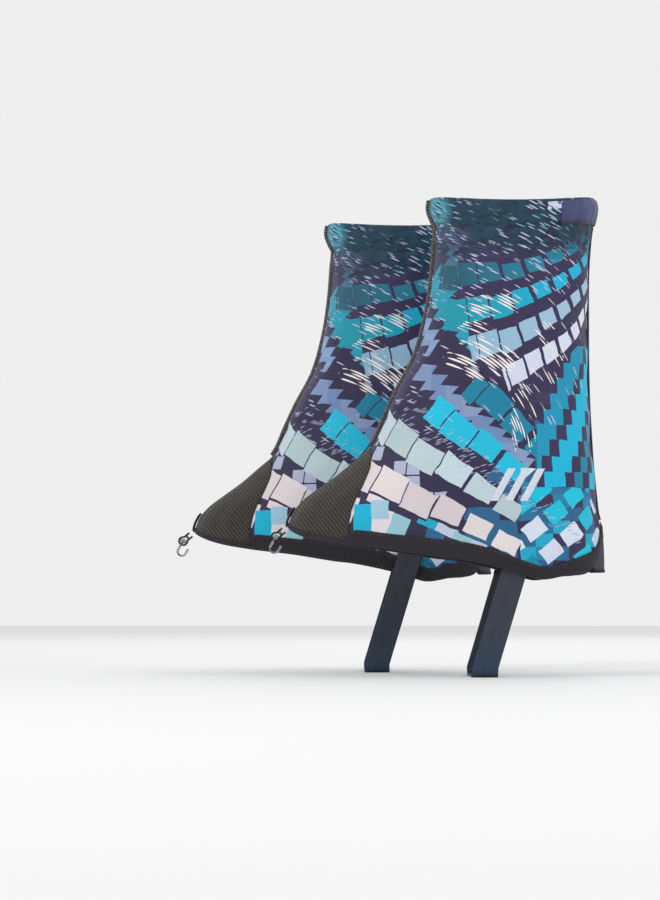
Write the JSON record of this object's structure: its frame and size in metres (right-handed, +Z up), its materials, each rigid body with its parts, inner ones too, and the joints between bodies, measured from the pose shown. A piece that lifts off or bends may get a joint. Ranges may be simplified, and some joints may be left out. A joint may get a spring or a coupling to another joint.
{
  "type": "gaiters",
  "caption": "Pair of stretch-knit trail gaiters: printed sleeves with an elastic rim, knit instep gusset, lace hook, heel tab and a strap under the arch.",
  "frame": {"origin": "on the ground, under the middle of the pair's bounding box", "axes": "-X is towards the toes, +Z is up along the legs, +Y runs from the left gaiter to the right one"},
  "size_m": [0.2732, 0.2344, 0.2988],
  "materials": {
    "printed_knit": "printed polyester and elastane jersey, slight sheen",
    "plain_knit": "plain indigo jersey",
    "ribbed_mesh": "charcoal ribbed warp knit",
    "overlock_thread": "grey overlock thread",
    "panel_thread": "indigo overlock thread",
    "white_elastic": "woven rubber elastic",
    "binding_tape": "black fold-over elastic and webbing",
    "heel_webbing": "dark ribbed webbing",
    "loop_tape": "black loop tape",
    "hook_tape": "moulded nylon hook tape",
    "strap_webbing": "rubberised charcoal strap",
    "hook_metal": "nickel plated steel",
    "transfer_film": "reflective transfer film"
  },
  "bodies": {
    "left_gaiter": {"left_outer_panel": "printed_knit", "left_inner_panel": "printed_knit", "left_knit_gusset": "ribbed_mesh", "left_front_seam": "overlock_thread", "left_back_seam": "panel_thread", "left_hem_facing": "printed_knit", "left_top_elastic": "white_elastic", "left_back_cuff_band": "plain_knit", "left_hem_binding": "binding_tape", "left_hook_anchor": "binding_tape", "left_understrap": "strap_webbing", "left_strap_loop_patch": "loop_tape", "left_reflective_mark": "transfer_film"},
    "left_heel_tab": {"left_heel_tab": "heel_webbing", "left_heel_grip_patch": "loop_tape"},
    "left_hook_loop": {"left_hook_loop": "binding_tape", "left_loop_rivet": "hook_metal"},
    "left_lace_hook": {"left_lace_hook": "hook_metal"},
    "left_strap_end": {"left_strap_end": "strap_webbing", "left_strap_hook_patch": "hook_tape"},
    "right_gaiter": {"right_outer_panel": "printed_knit", "right_inner_panel": "printed_knit", "right_knit_gusset": "ribbed_mesh", "right_front_seam": "overlock_thread", "right_back_seam": "panel_thread", "right_hem_facing": "printed_knit", "right_top_elastic": "white_elastic", "right_back_cuff_band": "plain_knit", "right_hem_binding": "binding_tape", "right_hook_anchor": "binding_tape", "right_understrap": "strap_webbing", "right_strap_loop_patch": "loop_tape", "right_reflective_mark": "transfer_film"},
    "right_heel_tab": {"right_heel_tab": "heel_webbing", "right_heel_grip_patch": "loop_tape"},
    "right_hook_loop": {"right_hook_loop": "binding_tape", "right_loop_rivet": "hook_metal"},
    "right_lace_hook": {"right_lace_hook": "hook_metal"},
    "right_strap_end": {"right_strap_end": "strap_webbing", "right_strap_hook_patch": "hook_tape"}
  },
  "joints": [
    {"name": "stance", "type": "slide", "parent": "left_gaiter", "child": "right_gaiter", "axis": [0, 1, 0], "range_m": [0, 0.1]},
    {"name": "left_heel_tab_lift", "type": "hinge", "parent": "left_gaiter", "child": "left_heel_tab", "pos_m": [0.13636, -0.0725, 0.0878], "axis": [0, -1, 0], "range_deg": [0, 45]},
    {"name": "left_strap_peel", "type": "hinge", "parent": "left_gaiter", "child": "left_strap_end", "pos_m": [0.06055, -0.03249, 0.0054], "axis": [-1, 0, 0], "range_deg": [0, 88]},
    {"name": "left_hook_loop_bend", "type": "hinge", "parent": "left_gaiter", "child": "left_hook_loop", "pos_m": [-0.06305, -0.0725, 0.0912], "axis": [0, 1, 0], "range_deg": [-40, 80]},
    {"name": "left_lace_hook_swing", "type": "hinge", "parent": "left_hook_loop", "child": "left_lace_hook", "pos_m": [-0.06841, -0.0725, 0.0867], "axis": [0, 1, 0], "range_deg": [-50, 70]},
    {"name": "right_heel_tab_lift", "type": "hinge", "parent": "right_gaiter", "child": "right_heel_tab", "pos_m": [0.07236, 0.0725, 0.0878], "axis": [0, -1, 0], "range_deg": [0, 45]},
    {"name": "right_strap_peel", "type": "hinge", "parent": "right_gaiter", "child": "right_strap_end", "pos_m": [-0.00345, 0.03249, 0.0054], "axis": [1, 0, 0], "range_deg": [0, 88]},
    {"name": "right_hook_loop_bend", "type": "hinge", "parent": "right_gaiter", "child": "right_hook_loop", "pos_m": [-0.12705, 0.0725, 0.0912], "axis": [0, 1, 0], "range_deg": [-40, 80]},
    {"name": "right_lace_hook_swing", "type": "hinge", "parent": "right_hook_loop", "child": "right_lace_hook", "pos_m": [-0.13241, 0.0725, 0.0867], "axis": [0, 1, 0], "range_deg": [-50, 70]}
  ]
}
